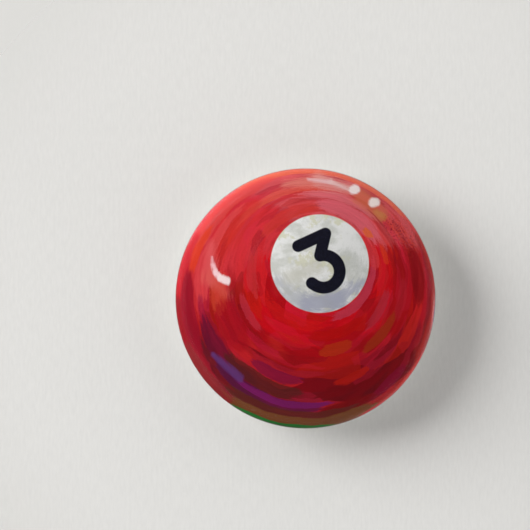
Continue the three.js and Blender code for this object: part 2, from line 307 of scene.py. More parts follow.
MARKS = [
    # the pink and orange light over the top
    ((206, 92, 104), 0.20, 0.16, 58, 34, 1.4, 3.0, 0.8),
    ((196, 52, 44), 0.16, 0.10, 118, 30, 1.6, 2.5, 0.7),
    ((214, 84, 70), 0.55, 0.06, 108, 34, 1.8, 2.5, 0.6),
    ((208, 104, 112), 0.44, 0.08, 72, 28, 1.8, 2.5, 0.7),
    ((212, 92, 66), 0.93, 0.07, 82, 46, 1.0, 3.0, 0.9),
    ((212, 68, 66), 0.86, 0.10, 134, 30, 1.2, 2.4, 0.8),
    ((192, 28, 40), 0.93, 0.07, 166, 16, 1.2, 2.4, 0.8),
    ((200, 46, 40), 0.60, 0.13, 140, 18, 1.6, 2.2, 0.6),
    ((222, 60, 30), 0.83, 0.05, 158, 13, 1.6, 2.6, 0.75),
    ((214, 70, 72), 0.68, 0.055, 152, 24, 1.6, 2.2, 0.7),
    # left
    ((214, 62, 68), 0.72, 0.08, 172, 16, 1.4, 2.4, 0.8),
    ((150, 10, 36), 0.87, 0.07, -172, 20, 1.2, 2.4, 0.85),
    ((205, 66, 44), 0.55, 0.09, -174, 13, 1.6, 2.2, 0.6),
    ((166, 10, 26), 0.52, 0.12, -152, 17, 1.6, 2.4, 0.7),
    ((188, 50, 56), 0.20, 0.05, 178, 26, 1.8, 2.2, 0.5),
    ((140, 12, 60), 0.74, 0.03, -168, 10, 1.6, 2.2, 0.5),
    # right
    ((212, 92, 40), 0.15, 0.07, 36, 6, 1.8, 3.0, 0.8),
    ((206, 50, 28), 0.26, 0.05, 16, 9, 1.8, 2.6, 0.8),
    ((126, 6, 16), 0.72, 0.10, 8, 16, 1.6, 2.4, 0.7),
    ((172, 30, 44), 0.50, 0.06, -12, 14, 1.8, 2.2, 0.5),
    ((186, 54, 74), 0.06, 0.05, -34, 44, 1.2, 3.0, 0.8),
    ((170, 44, 60), 0.30, 0.05, -30, 18, 1.8, 2.2, 0.6),
    ((152, 46, 16), 0.46, 0.05, -38, 17, 1.2, 3.0, 0.75),
    ((130, 8, 44), 0.86, 0.05, -46, 10, 1.4, 2.4, 0.8),
    # below
    ((200, 20, 20), 0.12, 0.05, -120, 34, 1.6, 2.2, 0.6),
    ((176, 10, 8), 0.20, 0.05, -72, 26, 1.4, 2.6, 0.8),
    ((204, 56, 62), 0.07, 0.09, 14, 17, 1.6, 2.4, 0.7),
    ((190, 46, 62), 0.33, 0.035, -150, 16, 1.8, 2.2, 0.6),
    ((176, 44, 16), 0.33, 0.055, -74, 13, 1.0, 3.6, 0.85),
    ((168, 26, 44), 0.52, 0.03, -104, 26, 2.0, 2.0, 0.6),
    ((180, 22, 50), 0.42, 0.03, -128, 14, 2.0, 2.0, 0.5),
    ((112, 12, 56), 0.58, 0.05, -112, 16, 1.6, 2.4, 0.7),
    ((176, 24, 14), 0.62, 0.04, -66, 11, 1.6, 2.4, 0.8),
    ((104, 12, 44), 0.74, 0.075, -142, 24, 1.3, 2.4, 0.8),
    ((84, 30, 28), 0.69, 0.065, -118, 24, 1.3, 3.0, 0.8),
    ((82, 20, 62), 0.80, 0.05, -112, 32, 1.3, 3.0, 0.8),
    ((122, 26, 98), 0.785, 0.028, -103, 26, 1.5, 3.0, 0.75),
    ((120, 10, 14), 0.86, 0.06, -72, 14, 1.6, 2.4, 0.8),
    ((92, 36, 30), 0.88, 0.045, -100, 34, 1.3, 2.6, 0.85),
    ((118, 68, 34), 0.945, 0.055, -93, 38, 1.2, 3.0, 0.95),
    ((138, 42, 44), 0.95, 0.045, -142, 18, 1.4, 2.6, 0.7),
    # the rim's own thin colours
    ((40, 116, 48), 0.985, 0.030, -101, 25, 0.7, 4.0, 1.0),
    ((86, 34, 104), 0.992, 0.014, 0, 13, 0.8, 4.0, 0.8),
]


def lay_dabs(net, colour, ring, turn_x, turn_y, wander, scale, across_scale, strength):
    """Short flat dabs along the rings, some of them darker, pinker or warmer than the rest."""
    place = net.join(
        net.math("MULTIPLY", turn_x, scale), net.math("MULTIPLY", turn_y, scale),
        net.math("MULTIPLY", ring, across_scale),
    )
    node = net.add("ShaderNodeTexVoronoi")
    net.put(node.inputs["Vector"], net.vector("ADD", place, net.join(wander, 0.0, wander)))
    node.inputs["Scale"].default_value = 1.0
    lot = net.split(node.outputs["Color"])
    tints = [
        ("X", 0.30, 0.12, 0.55, (122, 6, 16)),
        ("Y", 0.72, 0.90, 0.45, (206, 34, 64)),
        ("Z", 0.72, 0.90, 0.50, (206, 34, 6)),
    ]
    for axis, none_at, full_at, most, shade in tints:
        share = net.math("MULTIPLY", net.ramp(lot[axis], none_at, full_at), most * strength)
        colour = net.mix(share, colour, paint(*shade))
    return colour


def lay_marks(net, colour, marks, ring, angle, bristle, dab):
    for shade, at_ring, width, at_angle, length, rough, sharp, strength in marks:
        colour = net.group(
            dab, colour, paint(*shade), ring, angle, bristle, at_ring, width,
            radians(at_angle), radians(length), rough, sharp, strength,
        )
    return colour


def swirled_paint(net, across, up, dab):
    """The painted ball's reds: a base, streaks along the rings, the brush marks, and painted light that
    lightens them towards the right.
    """
    ring, angle, from_x, from_y = swirl_coordinates(net, across, up)
    reach = net.math("MAXIMUM", net.vector("LENGTH", net.join(from_x, from_y)), 0.05)
    turn_x = net.math("DIVIDE", from_x, reach)
    turn_y = net.math("DIVIDE", from_y, reach)
    wander = net.noise(net.join(across, up), 3.0, 3.0)
    ring = net.math("MULTIPLY_ADD", wander, WANDER, ring)
    broad = net.noise(net.join(turn_x, turn_y, net.math("MULTIPLY", ring, BROAD_RINGS)), 1.6, 3.0)
    fine_point = net.join(
        net.math("MULTIPLY", turn_x, FINE_TURNS), net.math("MULTIPLY", turn_y, FINE_TURNS),
        net.math("MULTIPLY", ring, FINE_RINGS),
    )
    fine = net.noise(fine_point, 1.0, 4.0, 0.65)
    grain = net.noise(net.join(across, up), FLECKS, 2.0)
    bristle = net.math("MULTIPLY_ADD", grain, 0.9, net.math("MULTIPLY", fine, 1.6))
    colour = lay_marks(net, paint(180, 22, 30), BROAD_MARKS, ring, angle, bristle, dab)
    dark = net.ramp(broad, 0.02, 0.16)
    colour = net.mix(net.math("MULTIPLY", dark, 0.35), colour, paint(140, 6, 18))
    warm = net.ramp(broad, -0.05, -0.2)
    colour = net.mix(net.math("MULTIPLY", warm, 0.4), colour, paint(206, 44, 36))
    ragged_ring = net.math("MULTIPLY_ADD", bristle, RAGGED, ring)
    colour = lay_dabs(net, colour, ragged_ring, turn_x, turn_y, wander, 1.3, 8.0, 0.75)
    colour = lay_dabs(net, colour, ragged_ring, turn_x, turn_y, wander, 2.8, 15.0, 0.45)
    colour = lay_marks(net, colour, MARKS, ring, angle, bristle, dab)
    # Painted light: the paint gets lighter towards the right, to even out the key light that falls from
    # the left.
    painted_light = net.math("MULTIPLY_ADD", across, PAINTED_LIGHT_TO_RIGHT, 1.05)
    value = net.math("MULTIPLY_ADD", grain, 0.6, net.math("MULTIPLY_ADD", fine, 0.4, painted_light))
    shade = net.vector("MULTIPLY", colour, net.join(value, value, value))
    return shade, bristle


def lay_stroke(net, colour, stroke, point, ragged, start, end, radii, shade, edge=60.0, strength=1.0):
    cover = net.group(
        stroke, point, (*start, 0), (*end, 0), radii[0], radii[1], edge, ragged,
    )
    return net.mix(net.math("MULTIPLY", cover, strength), colour, paint(*shade))


def lay_highlights(net, colour, stroke, point, bristle):
    """The white and pink lights on the ball, and the violet mark low on its left."""
    ragged = net.math("MULTIPLY", bristle, 0.022)
    soft = net.math("MULTIPLY", bristle, 0.09)
    # start, end, the radius at each, colour, roughness of the edge, its sharpness, and strength
    lights = [
        ((-0.72, 0.40), (-0.72, 0.16), (0.03, 0.06), (206, 84, 86), soft, 16.0, 0.6),
        ((-0.72, 0.16), (-0.60, 0.04), (0.06, 0.03), (204, 84, 76), soft, 16.0, 0.5),
        ((-0.16, 0.865), (0.10, 0.895), (0.020, 0.050), (218, 124, 112), soft, 24.0, 0.75),
        ((0.10, 0.895), (0.36, 0.82), (0.050, 0.035), (216, 142, 136), soft, 24.0, 0.8),
        ((0.02, 0.905), (0.19, 0.885), (0.008, 0.018), (226, 184, 186), ragged, 50.0, 0.85),
        ((0.19, 0.885), (0.34, 0.825), (0.018, 0.012), (226, 186, 182), ragged, 50.0, 0.85),
        ((0.42, 0.77), (0.57, 0.65), (0.06, 0.05), (206, 108, 78), soft, 22.0, 0.7),
        ((0.535, 0.655), (0.585, 0.62), (0.022, 0.028), (202, 126, 76), ragged, 40.0, 0.8),
        ((0.360, 0.825), (0.375, 0.830), (0.032, 0.034), (240, 222, 220), ragged, 60.0, 1.0),
        ((0.512, 0.728), (0.528, 0.732), (0.036, 0.034), (242, 226, 220), ragged, 60.0, 1.0),
        ((-0.712, 0.315), (-0.703, 0.255), (0.006, 0.012), (224, 160, 166), ragged, 60.0, 0.9),
        ((-0.703, 0.255), (-0.682, 0.200), (0.012, 0.020), (228, 176, 180), ragged, 60.0, 1.0),
        ((-0.682, 0.200), (-0.648, 0.158), (0.020, 0.026), (232, 194, 198), ragged, 60.0, 1.0),
        ((-0.648, 0.158), (-0.600, 0.136), (0.026, 0.030), (234, 208, 208), ragged, 60.0, 1.0),
        ((-0.70, -0.425), (-0.50, -0.60), (0.020, 0.030), (92, 50, 108), ragged, 50.0, 0.9),
    ]
    for start, end, radii, shade, rough, edge, strength in lights:
        colour = lay_stroke(net, colour, stroke, point, rough, start, end, radii, shade, edge, strength)
    return colour


def lay_speckle(net, colour, stroke, point):
    """Orange and dark flecks where the light meets the dark right side, and a few elsewhere."""
    flecks = net.noise(point, 75.0, 2.0, 0.7)
    patchy = net.math("MULTIPLY", net.noise(point, 9.0, 2.0), 0.12)
    zone = net.group(stroke, point, (0.66, 0.55, 0), (0.80, 0.42, 0), 0.05, 0.06, 9.0, patchy)
    orange = net.math("MULTIPLY", net.ramp(flecks, 0.04, 0.10), zone)
    colour = net.mix(orange, colour, paint(214, 62, 40))
    dark = net.math("MULTIPLY", net.ramp(flecks, -0.05, -0.12), zone)
    colour = net.mix(dark, colour, paint(122, 6, 14))
    rare = net.math("MULTIPLY", net.ramp(net.noise(point, 120.0, 1.0), 0.27, 0.32), 0.6)
    return net.mix(rare, colour, paint(70, 6, 22))


def numeral_cover(net, stroke, point):
    """How much the numeral 3 covers a point: two straight strokes and an open round bowl."""
    start, corner, middle = (-0.060, 0.398), (0.145, 0.492), (0.105, 0.326)
    bowl, bowl_radius, bowl_end = (0.131, 0.207), 0.122, (0.043, 0.119)
    half = NUMERAL_HALF_WIDTH
    offset = net.vector("SUBTRACT", point, (*bowl, 0))
    off_ring = net.math("SUBTRACT", net.vector("LENGTH", offset), bowl_radius)
    deep = net.math("SUBTRACT", half, net.math("ABSOLUTE", off_ring))
    band = net.math("MULTIPLY_ADD", deep, NUMERAL_EDGE, 0.5, clamp=True)
    above_gap = net.vector("DOT_PRODUCT", offset, (0.97, 0.24, 0))
    below_gap = net.vector("DOT_PRODUCT", offset, (0.71, -0.71, 0))
    kept = net.math("GREATER_THAN", net.math("MAXIMUM", above_gap, below_gap), 0.0)
    cover = net.math("MULTIPLY", band, kept)
    for here, there in ((start, corner), (corner, middle), (bowl_end, (0.047, 0.115))):
        part = net.group(stroke, point, (*here, 0), (*there, 0), half, half, NUMERAL_EDGE, 0.0)
        cover = net.math("MAXIMUM", cover, part)
    return cover


def lay_spot(net, colour, stroke, point, bristle):
    """The white spot, brushed in greys and creams, with the numeral on it."""
    middle = (*SPOT, 0)
    out = net.vector("DISTANCE", point, middle)
    inside = net.math("SUBTRACT", SPOT_RADIUS, out)
    cover = net.math("MULTIPLY_ADD", inside, SPOT_EDGE, 0.5, clamp=True)
    patches = net.noise(net.vector("MULTIPLY", point, (3.2, 4.4, 1.0)), 1.3, 4.0, 0.6)
    white = net.mix(net.ramp(patches, -0.10, 0.05), paint(204, 205, 199), paint(230, 230, 228))
    cream = net.ramp(net.noise(net.vector("ADD", point, (3.0, 1.0, 0)), 4.5, 4.0, 0.7), 0.03, 0.09)
    white = net.mix(net.math("MULTIPLY", cream, 0.75), white, paint(208, 207, 178))
    rough = net.math("MULTIPLY", bristle, 0.12)
    # start, end, the radius at each, colour, sharpness of the edge, and strength
    shadow = [
        ((-0.20, 0.12), (-0.02, -0.04), (0.05, 0.07), (176, 178, 184), 18.0, 0.8),
        ((0.02, -0.04), (0.24, -0.02), (0.07, 0.07), (166, 168, 184), 18.0, 0.9),
        ((0.24, 0.0), (0.42, 0.12), (0.06, 0.03), (172, 174, 190), 18.0, 0.85),
        ((-0.12, 0.16), (0.06, 0.24), (0.05, 0.06), (200, 198, 186), 16.0, 0.7),
        ((0.30, 0.34), (0.42, 0.22), (0.04, 0.05), (192, 194, 188), 16.0, 0.6),
    ]
    for start, end, radii, shade, edge, strength in shadow:
        white = lay_stroke(net, white, stroke, point, rough, start, end, radii, shade, edge, strength)
    numeral = numeral_cover(net, stroke, point)
    navy = net.mix(net.ramp(bristle, -0.4, 0.4), paint(16, 16, 26), paint(24, 24, 40))
    white = net.mix(numeral, white, navy)
    return net.mix(cover, colour, white)


def print_material():
    """The printed paper: a painted red ball on the face, plain white paper round the back."""
    material, net, shader = new_material("print")
    place = net.split(net.add("ShaderNodeTexCoord").outputs["Object"])
    across = net.math("DIVIDE", place["X"], RADIUS)
    up = net.math("DIVIDE", place["Z"], RADIUS)
    point = net.join(across, up)
    dab, stroke = dab_group(), stroke_group()
    colour, bristle = swirled_paint(net, across, up, dab)
    colour = lay_highlights(net, colour, stroke, point, bristle)
    colour = lay_speckle(net, colour, stroke, point)
    colour = lay_spot(net, colour, stroke, point, bristle)
    # Painted shade: the print darkens to maroon over its outermost rim, where the face turns away.
    out = net.vector("LENGTH", point)
    edge = net.ramp(out, RIM_SHADE_START, 1.0)
    colour = net.mix(net.math("MULTIPLY", edge, 0.75), colour, paint(84, 8, 22))
    bleed = net.ramp(place["Y"], -MARGIN_START, -MARGIN_FULL)
    fibres = net.noise(net.vector("MULTIPLY", point, (60.0, 60.0, 1.0)), 1.0, 3.0)
    margin = net.mix(net.ramp(fibres, -0.3, 0.3), paint(232, 231, 226), paint(244, 243, 240))
    net.put(shader.inputs["Base Color"], net.mix(bleed, colour, margin))
    net.put(shader.inputs["Roughness"], net.ramp(bristle, -1.0, 1.0, 0.42, 0.56))
    shader.inputs["Specular IOR Level"].default_value = 0.06
    shader.inputs["Coat Weight"].default_value = 0.1
    shader.inputs["Coat Roughness"].default_value = 0.1
    return material


# ---- Metal, film, wire and stage materials ----


LINES_THROUGH, LINES_UP = 400.0, 650.0  # changes per metre through the badge and up it
HAIR_THROUGH, HAIR_UP = 900.0, 1100.0
HAIR_FINER = 3.5
BURNISH_BLEND = 0.25 * MM
UNBURNISHED = 1.0  # a radius, in metres, beyond the whole badge


def grained_metal(name, shade, dark, roughness, across, depth, smooth_from=UNBURNISHED):
    """Rolled sheet metal: fine lines up the badge, which change its tone, gloss and height.

    Beyond the radius smooth_from, in metres, the press has burnished most of each line away."""
    material, net, shader = new_material(name)
    place = net.add("ShaderNodeTexCoord").outputs["Object"]
    out = net.vector("LENGTH", net.vector("MULTIPLY", place, (1.0, 0.0, 1.0)))
    kept = net.ramp(out, smooth_from, smooth_from + BURNISH_BLEND, 1.0, 0.25)
    line_place = net.vector("MULTIPLY", place, (across, LINES_THROUGH, LINES_UP))
    lines = net.math("MULTIPLY", net.noise(line_place, 1.0, 5.0, 0.7), kept)
    hair_place = net.vector("MULTIPLY", place, (across * HAIR_FINER, HAIR_THROUGH, HAIR_UP))
    hair = net.math("MULTIPLY", net.noise(hair_place, 1.0, 3.0, 0.6), kept)
    clouds = net.noise(place, 260.0, 3.0)
    tone = net.math("MULTIPLY_ADD", clouds, 0.25, lines)
    worn = net.mix(net.ramp(tone, -0.22, 0.2), paint(*dark), paint(*shade))
    net.put(shader.inputs["Base Color"], net.mix(kept, paint(238, 238, 236), worn))
    rough = net.math("MULTIPLY_ADD", lines, 0.22, roughness)
    net.put(shader.inputs["Roughness"], net.math("MAXIMUM", rough, 0.08))
    height = net.math("MULTIPLY_ADD", hair, 0.5, lines)
    net.put(shader.inputs["Normal"], net.bump(height, depth))
    shader.inputs["Metallic"].default_value = 1.0
    return material


def wire_material():
    """Polished drawn wire, with faint die lines and a slightly uneven plating."""
    material, net, shader = new_material("spring_steel")
    place = net.add("ShaderNodeTexCoord").outputs["Object"]
    clouds = net.noise(place, 900.0, 3.0)
    shade = net.mix(net.ramp(clouds, -0.25, 0.25), paint(206, 208, 210), paint(232, 233, 233))
    net.put(shader.inputs["Base Color"], shade)
    net.put(shader.inputs["Roughness"], net.ramp(clouds, -0.3, 0.3, 0.08, 0.2))
    fine = net.noise(net.vector("MULTIPLY", place, (700.0, 5000.0, 3000.0)), 1.0, 2.0)
    net.put(shader.inputs["Normal"], net.bump(fine, 0.004 * MM))
    shader.inputs["Metallic"].default_value = 1.0
    return material


def film_material():
    """Clear film. The paper's own coat carries the gloss, so the film only dims it a little."""
    material, net, shader = new_material("film")
    place = net.add("ShaderNodeTexCoord").outputs["Object"]
    net.put(shader.inputs["Roughness"], net.ramp(net.noise(place, 300.0), -0.3, 0.3, 0.06, 0.12))
    shader.inputs["Base Color"].default_value = (0.02, 0.02, 0.02, 1.0)
    shader.inputs["Alpha"].default_value = 0.04
    return material


CARD_HALF = 0.056
CARD_FADE_START = 0.034
FLOOR_FADE_START, FLOOR_FADE_END = 0.12, 0.5


def fade_out(material, net, shader, share):
    """Makes a stage material clear where the share is 1."""
    mixed = net.add("ShaderNodeMixShader")
    net.put(mixed.inputs[0], share)
    net.put(mixed.inputs[1], shader.outputs[0])
    net.put(mixed.inputs[2], net.add("ShaderNodeBsdfTransparent").outputs[0])
    net.put(material.node_tree.nodes["Material Output"].inputs["Surface"], mixed.outputs[0])


def card_material():
    """Pale board with a faint upright grain, shown from its front only."""
    material, net, shader = new_material("card")
    place = net.add("ShaderNodeTexCoord").outputs["Object"]
    grain = net.noise(net.vector("MULTIPLY", place, (3000.0, 1.0, 700.0)), 1.0, 4.0, 0.6)
    clouds = net.noise(place, 18.0, 3.0)
    tone = net.math("MULTIPLY_ADD", clouds, 0.4, grain)
    board = net.mix(net.ramp(tone, -0.4, 0.4), paint(222, 221, 218), paint(230, 229, 226))
    net.put(shader.inputs["Base Color"], board)
    net.put(shader.inputs["Normal"], net.bump(grain, 0.008 * MM, 0.5))
    shader.inputs["Roughness"].default_value = 0.85
    shader.inputs["Specular IOR Level"].default_value = 0.0
    out = net.vector("LENGTH", net.vector("MULTIPLY", place, (1.0, 0.0, 1.0)))
    faded = net.ramp(out, CARD_FADE_START, CARD_HALF)
    behind = net.add("ShaderNodeNewGeometry").outputs["Backfacing"]
    fade_out(material, net, shader, net.math("MAXIMUM", faded, behind))
    return material


def floor_material():
    """Plain pale floor, which fades out into the room's colour."""
    material, net, shader = new_material("floor")
    place = net.add("ShaderNodeTexCoord").outputs["Object"]
    clouds = net.noise(place, 6.0, 3.0)
    shade = net.mix(net.ramp(clouds, -0.3, 0.3), paint(172, 171, 168), paint(180, 179, 176))
    net.put(shader.inputs["Base Color"], shade)
    shader.inputs["Roughness"].default_value = 0.8
    out = net.vector("LENGTH", place)
    fade_out(material, net, shader, net.ramp(out, FLOOR_FADE_START, FLOOR_FADE_END))
    return material


# ---- Meshes ----


def piece_from(name, vertices, faces, material):
    mesh = bpy.data.meshes.new(name)
    mesh.from_pydata(vertices, [], faces)
    mesh.validate()
    mesh.shade_smooth()
    mesh.materials.append(material)
    piece = bpy.data.objects.new(name, mesh)
    bpy.context.scene.collection.objects.link(piece)
    return piece


def at(x, z, depth):
    """A point given in millimetres."""
    return Vector((x * MM, -depth * MM, z * MM))


def arc(centre, radius, start, end, steps):
    turns = [start + (end - start) * i / steps for i in range(steps + 1)]
    return [(centre[0] + radius * cos(a), centre[1] + radius * sin(a)) for a in turns]


def turned_grid(line, segments):
    """Vertices and faces of a line of (radius, depth) points turned about the badge's axis."""
    vertices, rings = [], []
    for radius, depth in line:
        if radius < 1e-6:
            rings.append([len(vertices)] * segments)
            vertices.append(at(0, 0, depth))
            continue
        rings.append(list(range(len(vertices), len(vertices) + segments)))
        turns = [2 * pi * i / segments for i in range(segments)]
        vertices += [at(radius * cos(a), radius * sin(a), depth) for a in turns]
    faces = []
    for inner, outer in zip(rings, rings[1:]):
        for i in range(segments):
            j = (i + 1) % segments
            corners = [inner[i], outer[i], outer[j], inner[j]]
            faces.append(tuple(dict.fromkeys(corners)))
    return vertices, faces


# The wrapped skin's outline, in millimetres, and how finely it is turned and curved.
SEGMENTS = 256
FACE_STEPS, SHOULDER_STEPS, CURL_STEPS = 40, 20, 16
BADGE = RADIUS / MM
HEIGHT = DEPTH / MM
FACE_RADIUS = 45.0
SHOULDER_RADIUS = 2.2
CURL_RADIUS = 1.1
CURL_END = radians(-97)
FILM = 0.08
PAPER = 0.12
SHELL = 0.25
GAP = 0.03


def skin_line(inside):
    """The line that lies a given distance inside the badge's surface, from dome to curl."""
    face_centre = (0.0, HEIGHT - FACE_RADIUS)
    shoulder_x = BADGE - SHOULDER_RADIUS
    reach = FACE_RADIUS - SHOULDER_RADIUS
    turn = math.acos(shoulder_x / reach)
    rim_depth = face_centre[1] + reach * sin(turn)
    return [
        *arc(face_centre, FACE_RADIUS - inside, pi / 2, turn, FACE_STEPS),
        *arc((shoulder_x, rim_depth), SHOULDER_RADIUS - inside, turn, 0, SHOULDER_STEPS)[1:],
        *arc((BADGE - CURL_RADIUS, rim_depth), CURL_RADIUS - inside, 0, CURL_END, CURL_STEPS)[1:],
    ]


def skin_layer(name, inside, thickness, material, node):
    outline = skin_line(inside) + skin_line(inside + thickness)[::-1]
    vertices, faces = turned_grid(outline, SEGMENTS)
    piece = piece_from(name, vertices, faces, material)
    piece.data.set_sharp_from_angle(angle=radians(50))
    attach(piece, "badge")
    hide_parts(node)
    return piece


# ---- The collet: one sheet, laid out flat as rings and holes, then pressed to its depth ----

SHEET = 0.25
SHEET_EDGE = 0.05  # width of the rounding of the sheet's cut edges
WELD = 0.002  # points closer than this become one
BEAD_OUTER, BEAD_INNER, BEAD_CORNER = 14.44, 13.6, 0.3
# (radius, depth) of the turn from the flat land up into the bead, and of the hidden hem
BEAD_FOOT = [(13.32, 1.43), (13.42, 1.36), (13.5, 1.22), (13.56, 1.0), (13.59, 0.8)]
HEM = [(BEAD_OUTER, 0.8), (BEAD_OUTER, 1.2), (BEAD_OUTER + 0.02, 1.5), (14.62, 1.82), (15.02, 2.02)]
FLANGE_OUTER = 13.2
LAND_DEPTH = 1.45
OPENING = 10.4
OPENING_DEPTH = 2.63
STEP_RADIUS = 13.0  # where the cone meets the flat land
STEP_BLEND = 0.15
LIP = 0.3  # the tab steps up to the opening's flat edge over this distance
LIP_RISE = 0.13  # how much nearer the back rim that flat edge is than the tab
RIB_HALF_WIDTH = 0.22
RIB_HEIGHT = 0.12
RIB_START, RIB_END = (11.2, 11.9), (12.9, 13.15)  # where the rib rises and falls
PIN_Z = -0.4
PIN_DEPTH = 1.78
SLOT = {"from": 6.17, "to": 11.97, "middle": 0.09, "half": 1.56, "corner": 1.3}
TAB_MARGIN = 0.4  # width of the strip of sheet round the slot
ROOT_HOLE = {"from": -12.95, "to": -11.05, "middle": PIN_Z, "half": 0.85, "corner": 0.84}
MESH_STEP = 0.15
ROW_STEP = MESH_STEP * 0.866  # rows this far apart give even triangles
CORNER_STEPS = 14
OPENING_STEPS = 300
RING_SEGMENTS = 540


def slot_distance(x, z, hole, margin=0.0):
    """Distance outside a slot's outline, negative inside it."""
    mid_x = (hole["from"] + hole["to"]) / 2
    half_x = (hole["to"] - hole["from"]) / 2
    dx = max(abs(x - mid_x) - half_x + hole["corner"], 0)
    dz = max(abs(z - hole["middle"]) - hole["half"] + hole["corner"], 0)
    inside = min(max(abs(x - mid_x) - half_x, abs(z - hole["middle"]) - hole["half"]), 0)
    if dx > 0 or dz > 0:
        return math.hypot(dx, dz) - hole["corner"] - margin
    return inside - margin


def slot_loop(hole, margin=0.0):
    """Points round a slot, anticlockwise from the lower right."""
    round_ = hole["corner"] + margin
    left, right = hole["from"] + hole["corner"], hole["to"] - hole["corner"]
    low = hole["middle"] - hole["half"] + hole["corner"]
    high = hole["middle"] + hole["half"] - hole["corner"]
    loop = []
    for turn, corner in enumerate(((right, low), (right, high), (left, high), (left, low))):
        loop += arc(corner, round_, (turn - 1) * pi / 2, turn * pi / 2, CORNER_STEPS)
    return loop


def evenly(points, step):
    """A closed loop's points with more put in, so that none is further than a step apart."""
    loop = []
    for here, there in zip(points, points[1:] + points[:1]):
        count = max(1, round(math.dist(here, there) / step))
        loop += [
            (here[0] + (there[0] - here[0]) * i / count, here[1] + (there[1] - here[1]) * i / count)
            for i in range(count)
        ]
    return [p for i, p in enumerate(loop) if math.dist(p, loop[i - 1]) > step * 0.05]


def opening_loop():
    """The edge of the big opening, which steps in round the tab."""
    tab = [p for p in slot_loop(SLOT, TAB_MARGIN) if math.hypot(*p) < OPENING]
    high = SLOT["middle"] + SLOT["half"] + TAB_MARGIN
    low = SLOT["middle"] - SLOT["half"] - TAB_MARGIN
    start = math.asin(high / OPENING)
    end = 2 * pi + math.asin(low / OPENING)
    ring = arc((0, 0), OPENING, start, end, OPENING_STEPS)
    return evenly(ring + tab[::-1], MESH_STEP)


def smooth(low, high, value):
    """A smooth step from 0 at low to 1 at high."""
    t = min(max((value - low) / (high - low), 0), 1)
    return t * t * (3 - 2 * t)


def flange_depth(x, z):
    """Mid-sheet depth of the pressed ring: a flat land, a cone, a flat tab and a low rib."""
    r = math.hypot(x, z)
    slope = (OPENING_DEPTH - LAND_DEPTH) / (STEP_RADIUS - OPENING)
    cone = LAND_DEPTH + (STEP_RADIUS - r) * slope
    blend = smooth(STEP_RADIUS - STEP_BLEND, STEP_RADIUS + STEP_BLEND, r)
    depth = cone * (1 - blend) + LAND_DEPTH * blend
    depth = min(depth, OPENING_DEPTH)
    rib = math.exp(-(((z - PIN_Z) / RIB_HALF_WIDTH) ** 2))
    rib *= smooth(*RIB_START, x) * (1 - smooth(*RIB_END, x))
    lip = LIP_RISE * smooth(0, LIP, slot_distance(x, z, SLOT, TAB_MARGIN))
    return min(depth, OPENING_DEPTH - lip) - RIB_HEIGHT * rib


def flange_sheet():
    """The flat part of the collet, from the opening to the bead: points and triangles."""
    turns = [2 * pi * i / RING_SEGMENTS for i in range(RING_SEGMENTS)]
    outer = [(FLANGE_OUTER * cos(a), FLANGE_OUTER * sin(a)) for a in turns]
    holes = [evenly(slot_loop(hole), MESH_STEP) for hole in (SLOT, ROOT_HOLE)]
    loops = [outer, opening_loop(), *holes]
    points, edges = [], []
    for loop in loops:
        first = len(points)
        points += loop
        edges += [(first + i, first + (i + 1) % len(loop)) for i in range(len(loop))]
    clear = MESH_STEP * 0.6
    for row in range(int(2 * FLANGE_OUTER / ROW_STEP) + 1):
        z = -FLANGE_OUTER + row * ROW_STEP
        for column in range(int(2 * FLANGE_OUTER / MESH_STEP) + 1):
            x = -FLANGE_OUTER + (column + 0.5 * (row % 2)) * MESH_STEP
            if on_sheet(x, z, clear):
                points.append((x, z))
    flat, _, triangles, *_ = delaunay_2d_cdt([Vector(p) for p in points], edges, [], 0, 1e-7)
    kept = []
    for corners in triangles:
        mid_x = sum(flat[i].x for i in corners) / 3
        mid_z = sum(flat[i].y for i in corners) / 3
        if on_sheet(mid_x, mid_z, 0):
            kept.append(tuple(corners))
    return [(p.x, p.y) for p in flat], kept


def on_sheet(x, z, clear):
    """Whether a point is on the sheet, at least the given distance from every edge."""
    r = math.hypot(x, z)
    if r > FLANGE_OUTER - clear:
        return False
    if slot_distance(x, z, SLOT) < clear or slot_distance(x, z, ROOT_HOLE) < clear:
        return False
    return r > OPENING + clear or slot_distance(x, z, SLOT, TAB_MARGIN) < -clear


def bead_line():
    """Mid-sheet line from the flange out over the rolled bead to the hidden hem."""
    crest = SHEET / 2
    corner_depth = crest + BEAD_CORNER
    quarter = pi / 2
    return [
        (FLANGE_OUTER, LAND_DEPTH),
        *BEAD_FOOT,
        *arc((BEAD_INNER + BEAD_CORNER, corner_depth), BEAD_CORNER, -2 * quarter, -quarter, 8),
        *arc((BEAD_OUTER - BEAD_CORNER, corner_depth), BEAD_CORNER, -quarter, 0, 8),
        *HEM,
    ]


def make_collet(material):
    """The pressed sheet and the turned bead, joined into one surface and given a thickness."""
    flat, triangles = flange_sheet()
    vertices = [at(x, z, flange_depth(x, z)) for x, z in flat]
    ring_vertices, ring_faces = turned_grid(bead_line(), RING_SEGMENTS)
    first = len(vertices)
    faces = triangles + [tuple(first + i for i in face) for face in ring_faces]
    collet = piece_from("collet", vertices + ring_vertices, faces, material)
    shape = bmesh.new()
    shape.from_mesh(collet.data)
    bmesh.ops.remove_doubles(shape, verts=shape.verts, dist=WELD * MM)
    bmesh.ops.recalc_face_normals(shape, faces=shape.faces)
    shape.to_mesh(collet.data)
    shape.free()
    thick = collet.modifiers.new("sheet", "SOLIDIFY")
    thick.thickness = SHEET * MM
    thick.offset = 0
    thick.use_even_offset = True
    edge = collet.modifiers.new("edge", "BEVEL")
    edge.width = SHEET_EDGE * MM
    edge.segments = 2
    edge.limit_method = "ANGLE"
    edge.angle_limit = radians(60)
    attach(collet, "badge")
    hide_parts("back_collet")
    return collet


# ---- The wire ----

